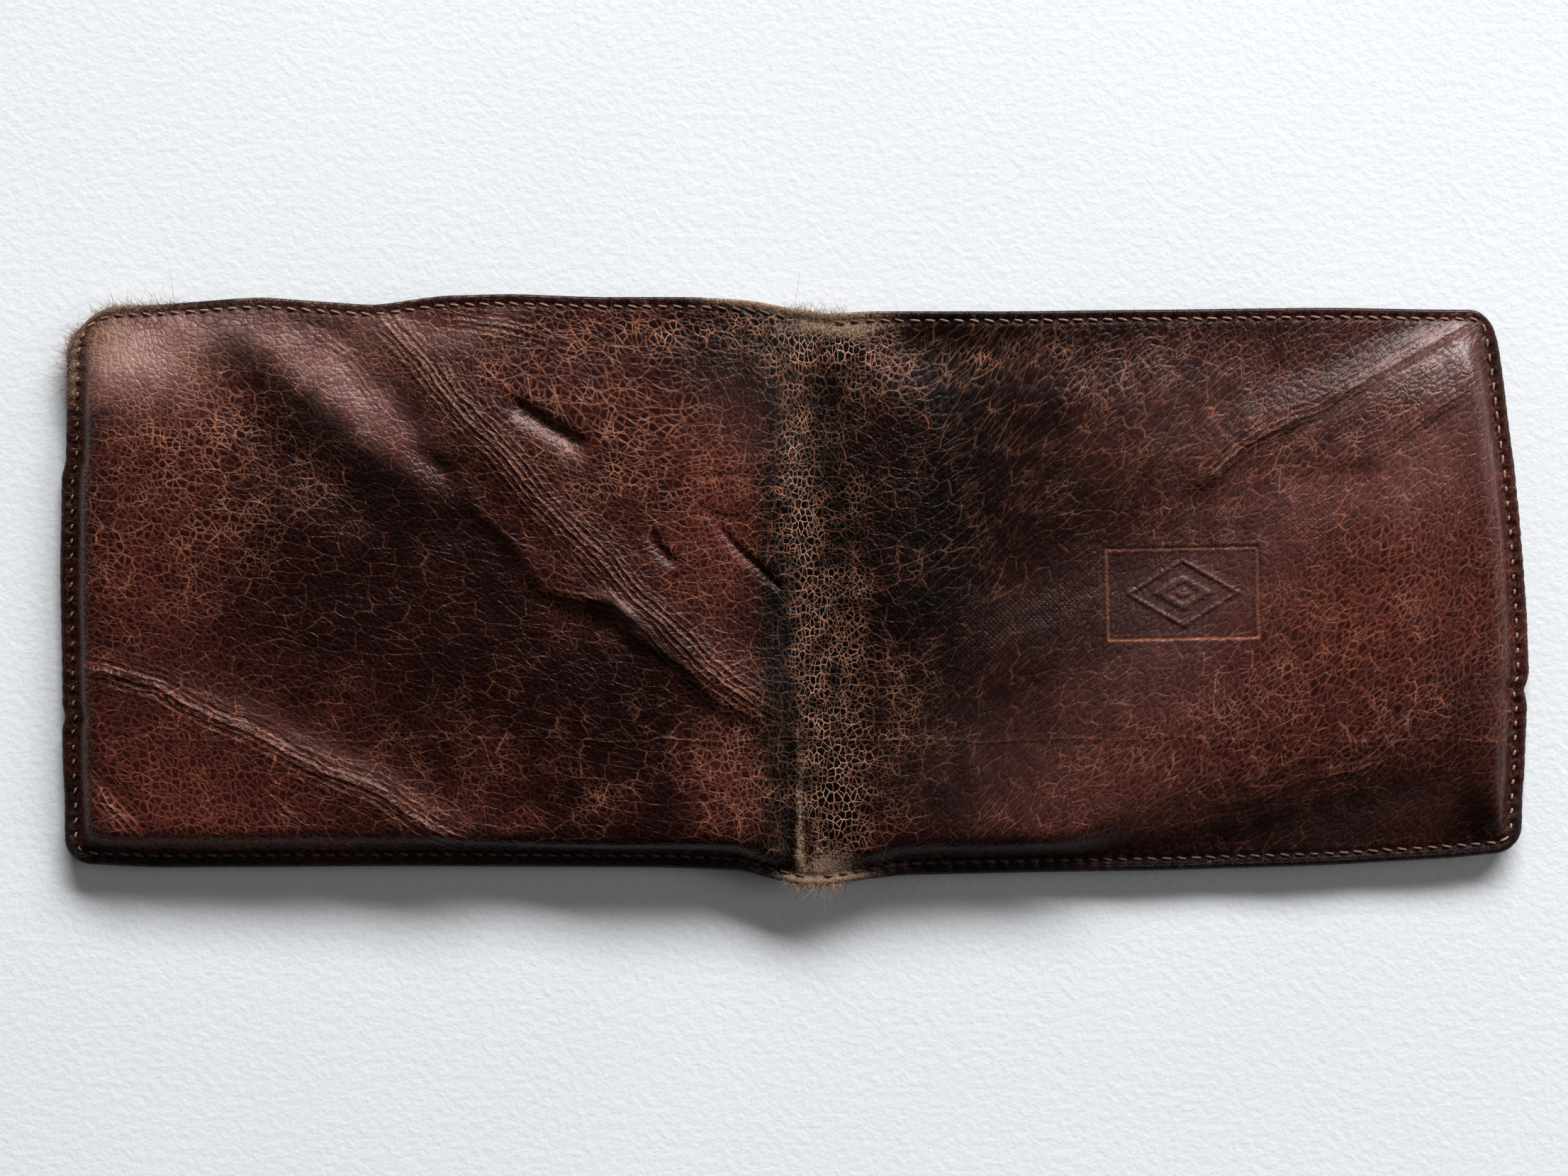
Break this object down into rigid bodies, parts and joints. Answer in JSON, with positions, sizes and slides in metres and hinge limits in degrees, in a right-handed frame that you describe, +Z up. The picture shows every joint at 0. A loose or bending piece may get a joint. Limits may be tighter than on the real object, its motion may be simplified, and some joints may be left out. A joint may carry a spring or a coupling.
{
  "type": "bifold wallet",
  "caption": "Leather bifold wallet lying open with its outside up: stitched two-panel cover, folding spine, note compartment and card slots.",
  "frame": {"origin": "middle of the face that the open wallet rests on", "axes": "+X along the open length, towards the panel with the embossed frame; +Y towards the mouth of the note compartment; +Z up, out of the cover"},
  "size_m": [0.23, 0.09, 0.0074],
  "materials": {
    "cover_leather": "worn pebble-grain leather, semi-gloss",
    "pocket_leather": "fine grain leather, satin",
    "lining_cloth": "plain weave",
    "stiffener_board": "matt fibre board",
    "thread": "twisted thread"
  },
  "bodies": {
    "right_panel": {"cover_right": "cover_leather", "stiffener_right": "stiffener_board", "bill_lining_right": "lining_cloth", "bill_divider_right": "lining_cloth", "slip_panel_right": "pocket_leather", "card_slot_right_1": "pocket_leather", "card_slot_right_2": "pocket_leather", "card_slot_right_3": "pocket_leather", "card_slot_right_4": "pocket_leather", "edge_stitching_right": "thread"},
    "spine": {"cover_spine": "cover_leather", "bill_lining_spine": "lining_cloth", "bill_divider_spine": "lining_cloth", "spine_stitching": "thread"},
    "left_panel": {"cover_left": "cover_leather", "stiffener_left": "stiffener_board", "bill_lining_left": "lining_cloth", "bill_divider_left": "lining_cloth", "slip_panel_left": "pocket_leather", "card_slot_left_1": "pocket_leather", "card_slot_left_2": "pocket_leather", "card_slot_left_3": "pocket_leather", "card_slot_left_4": "pocket_leather", "edge_stitching_left": "thread"}
  },
  "joints": [
    {"name": "right_fold", "type": "hinge", "parent": "right_panel", "child": "spine", "pos_m": [0.011, 0, 0.0066], "axis": [0, -1, 0], "range_deg": [0, 90]},
    {"name": "left_fold", "type": "hinge", "parent": "spine", "child": "left_panel", "pos_m": [-0.005, 0, 0.0066], "axis": [0, -1, 0], "range_deg": [0, 90]}
  ],
  "couplings": [
    {"joint": "left_fold", "follows": "right_fold", "ratio": 1}
  ]
}
